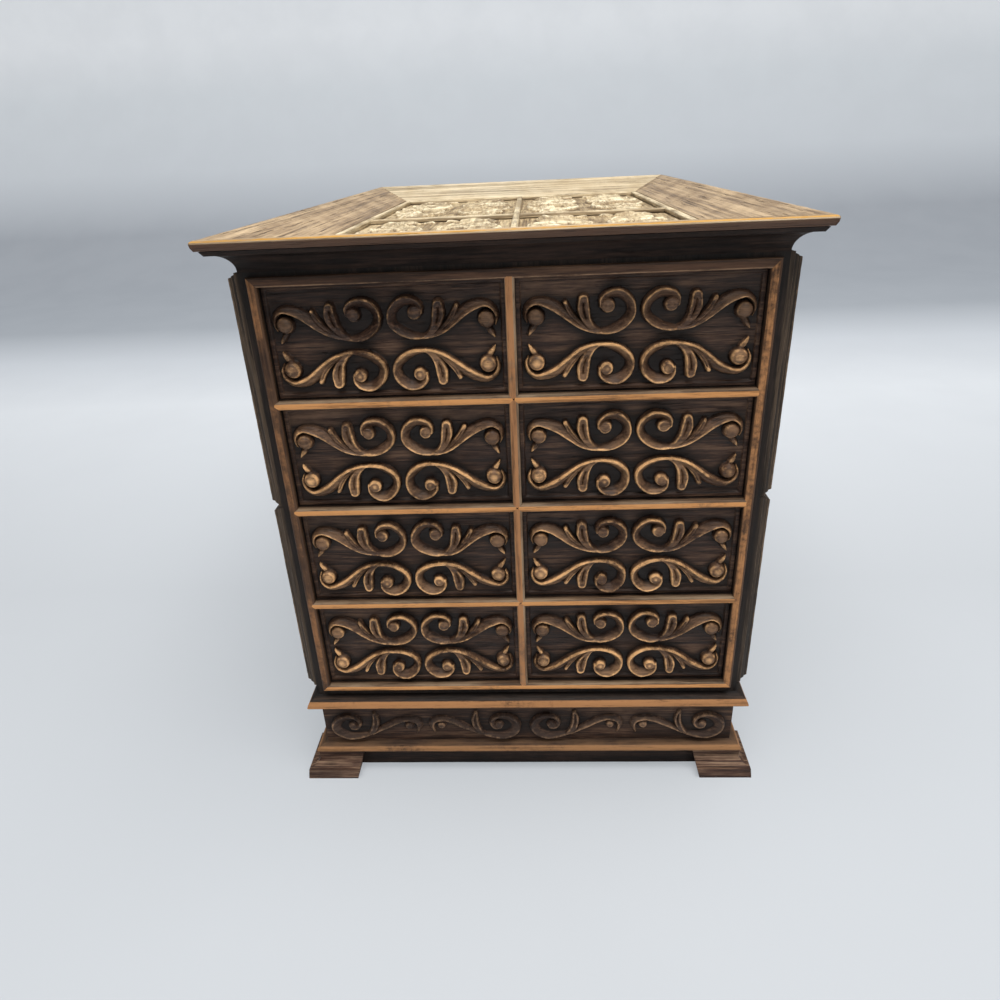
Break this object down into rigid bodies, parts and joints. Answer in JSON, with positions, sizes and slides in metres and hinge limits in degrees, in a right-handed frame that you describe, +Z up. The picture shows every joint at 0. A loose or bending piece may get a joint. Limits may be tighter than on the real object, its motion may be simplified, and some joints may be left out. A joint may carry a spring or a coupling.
{
  "type": "jewelry drawer box",
  "caption": "Antique-style carved wooden jewelry box with a grid of scroll-carved drawers, a dished carved top, mouldings and bracket feet",
  "frame": {"origin": "middle of the footprint, on the floor under the feet", "axes": "+Z up, the carved drawer front faces -Y, +X to the right as seen from the front, +Y to the back"},
  "size_m": [0.23, 0.371, 0.2666],
  "materials": {
    "case_wood": "satin",
    "front_bead": "satin",
    "top_bead": "satin",
    "dark_wood": "satin",
    "worn_top_wood": "satin",
    "top_carving": "satin",
    "side_wood": "satin",
    "moulding_wood": "satin",
    "foot_wood": "satin",
    "carved_wood": "satin",
    "drawer_wood": "matte",
    "lining_felt": "matte"
  },
  "bodies": {
    "case": {"left_side": "case_wood", "right_side": "case_wood", "back_panel": "case_wood", "bottom_board": "case_wood", "top_board": "case_wood", "centre_partition": "case_wood", "dust_board_1": "case_wood", "dust_board_2": "case_wood", "dust_board_3": "case_wood", "bead_grid": "front_bead", "bead_left": "front_bead", "bead_right": "front_bead", "bead_top": "front_bead", "bead_bottom": "front_bead", "top_bead_grid": "top_bead", "cornice": "dark_wood", "top_rail_front": "worn_top_wood", "top_rail_back": "worn_top_wood", "top_rail_left": "worn_top_wood", "top_rail_right": "worn_top_wood", "top_panel": "top_carving", "side_panel_left_lower": "side_wood", "side_panel_left_upper": "side_wood", "side_panel_right_lower": "side_wood", "side_panel_right_upper": "side_wood", "cap_moulding": "moulding_wood", "base_moulding": "moulding_wood", "plinth_front": "dark_wood", "plinth_left": "dark_wood", "plinth_right": "dark_wood", "plinth_back": "dark_wood", "foot_front_left": "foot_wood", "foot_front_right": "foot_wood", "foot_back_left": "foot_wood", "foot_back_right": "foot_wood"},
    "drawer_1": {"drawer_front_1": "carved_wood", "drawer_box_1": "drawer_wood", "drawer_lining_1": "lining_felt"},
    "drawer_2": {"drawer_front_2": "carved_wood", "drawer_box_2": "drawer_wood", "drawer_lining_2": "lining_felt"},
    "drawer_3": {"drawer_front_3": "carved_wood", "drawer_box_3": "drawer_wood", "drawer_lining_3": "lining_felt"},
    "drawer_4": {"drawer_front_4": "carved_wood", "drawer_box_4": "drawer_wood", "drawer_lining_4": "lining_felt"},
    "drawer_5": {"drawer_front_5": "carved_wood", "drawer_box_5": "drawer_wood", "drawer_lining_5": "lining_felt"},
    "drawer_6": {"drawer_front_6": "carved_wood", "drawer_box_6": "drawer_wood", "drawer_lining_6": "lining_felt"},
    "drawer_7": {"drawer_front_7": "carved_wood", "drawer_box_7": "drawer_wood", "drawer_lining_7": "lining_felt"},
    "drawer_8": {"drawer_front_8": "carved_wood", "drawer_box_8": "drawer_wood", "drawer_lining_8": "lining_felt"}
  },
  "joints": [
    {"name": "drawer_slide_1", "type": "slide", "parent": "case", "child": "drawer_1", "axis": [0, -1, 0], "range_m": [0, 0.25]},
    {"name": "drawer_slide_2", "type": "slide", "parent": "case", "child": "drawer_2", "axis": [0, -1, 0], "range_m": [0, 0.25]},
    {"name": "drawer_slide_3", "type": "slide", "parent": "case", "child": "drawer_3", "axis": [0, -1, 0], "range_m": [0, 0.25]},
    {"name": "drawer_slide_4", "type": "slide", "parent": "case", "child": "drawer_4", "axis": [0, -1, 0], "range_m": [0, 0.25]},
    {"name": "drawer_slide_5", "type": "slide", "parent": "case", "child": "drawer_5", "axis": [0, -1, 0], "range_m": [0, 0.25]},
    {"name": "drawer_slide_6", "type": "slide", "parent": "case", "child": "drawer_6", "axis": [0, -1, 0], "range_m": [0, 0.25]},
    {"name": "drawer_slide_7", "type": "slide", "parent": "case", "child": "drawer_7", "axis": [0, -1, 0], "range_m": [0, 0.25]},
    {"name": "drawer_slide_8", "type": "slide", "parent": "case", "child": "drawer_8", "axis": [0, -1, 0], "range_m": [0, 0.25]}
  ]
}
